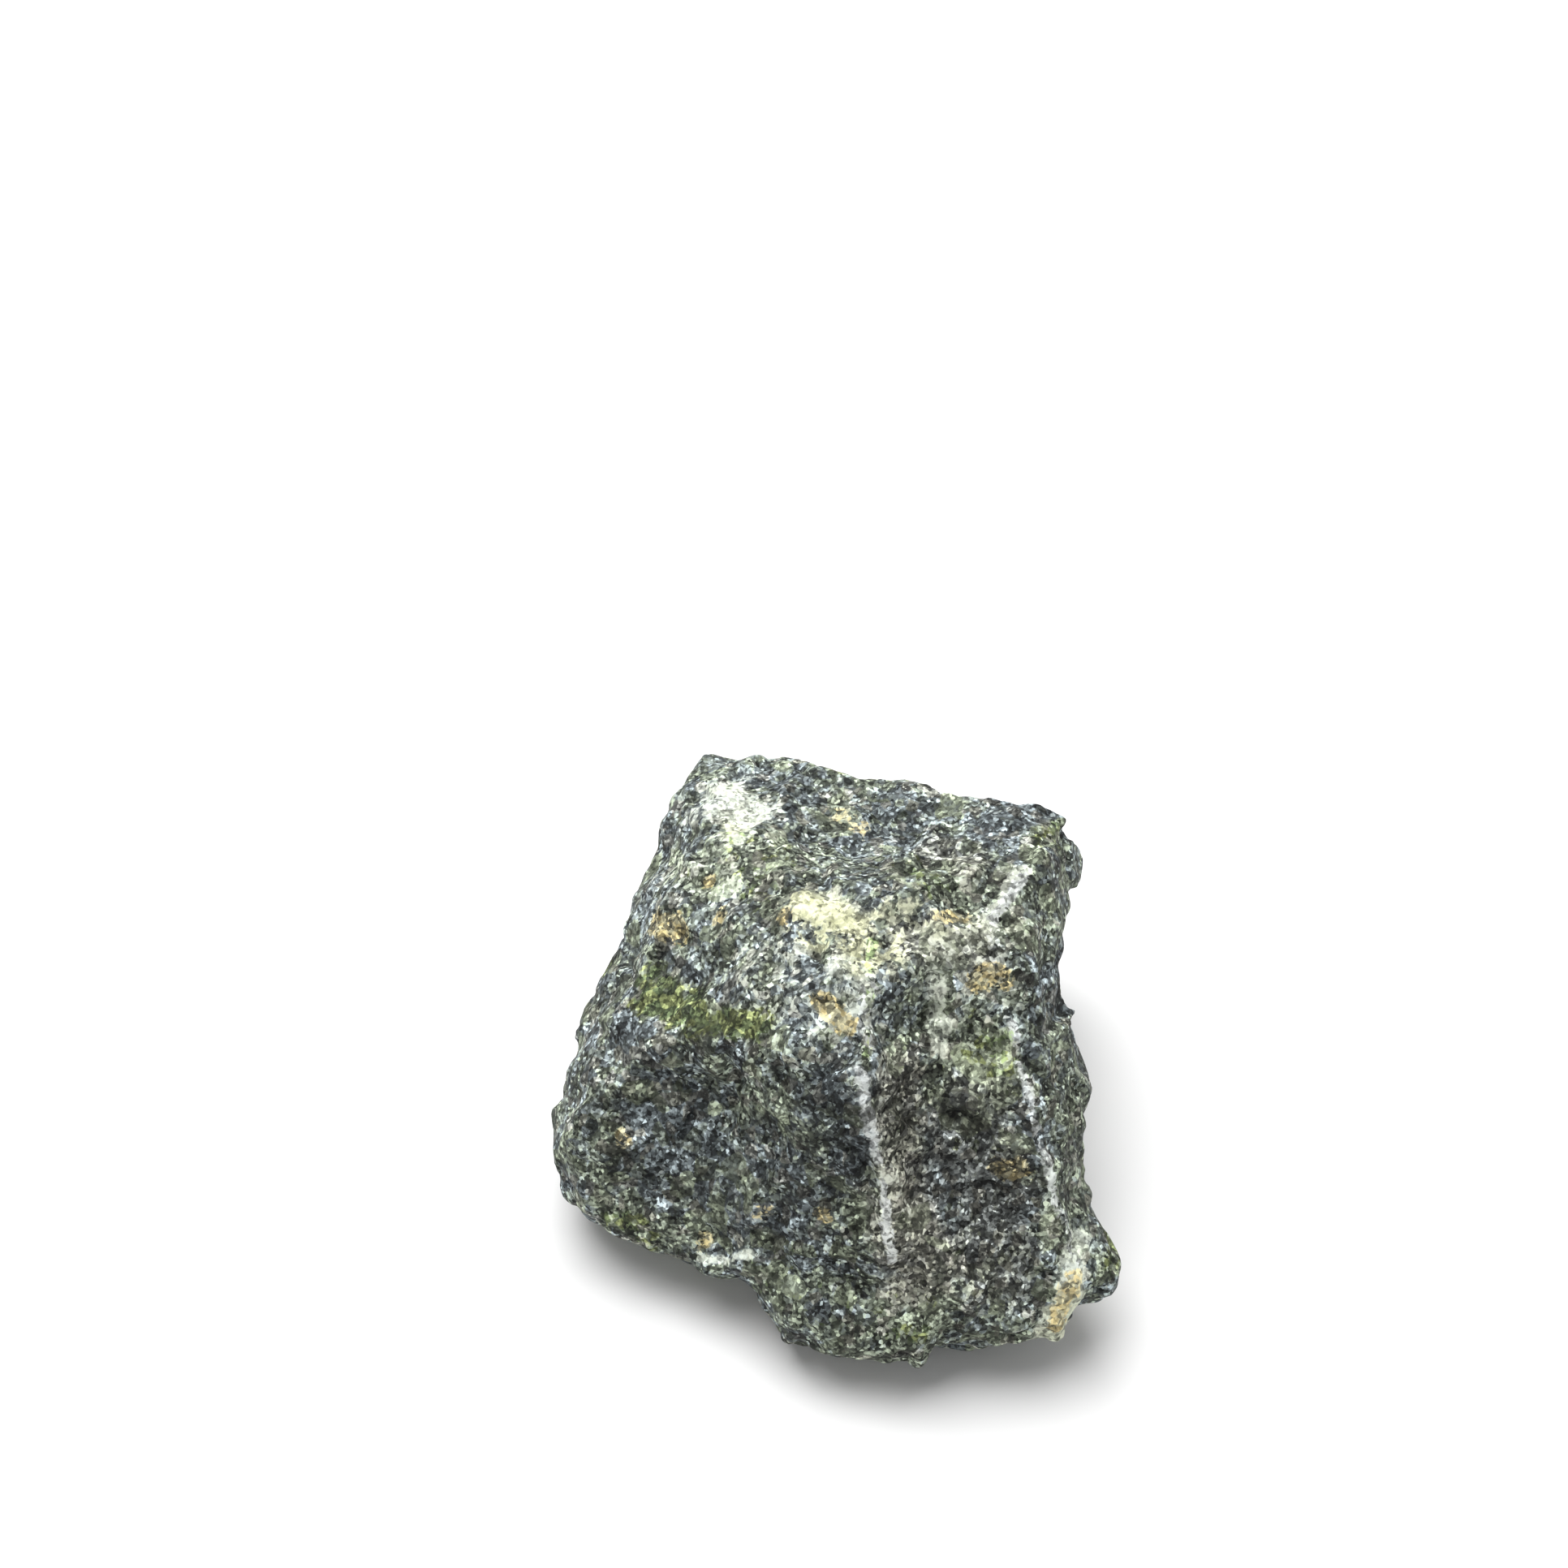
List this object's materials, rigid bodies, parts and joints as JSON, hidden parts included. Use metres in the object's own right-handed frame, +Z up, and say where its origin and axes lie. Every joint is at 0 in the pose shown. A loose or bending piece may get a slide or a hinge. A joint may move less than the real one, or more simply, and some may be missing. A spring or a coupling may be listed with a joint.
{
  "type": "raw jade stone",
  "caption": "Hand-sized chunk of rough, unpolished jade rock, broken on every side, with a ridged steep front, a sloping top and a flat facet to rest on.",
  "frame": {"origin": "centre of the bounding box in plan, on the ground under the stone", "axes": "+Z up; the steep ridged face looks towards -Y and the sloping upper face falls away towards +Y"},
  "size_m": [0.0598, 0.0658, 0.0401],
  "materials": {
    "jade": "rough, granular break with glassy grains"
  },
  "bodies": {
    "root": {"jade_stone": "jade"}
  },
  "joints": []
}
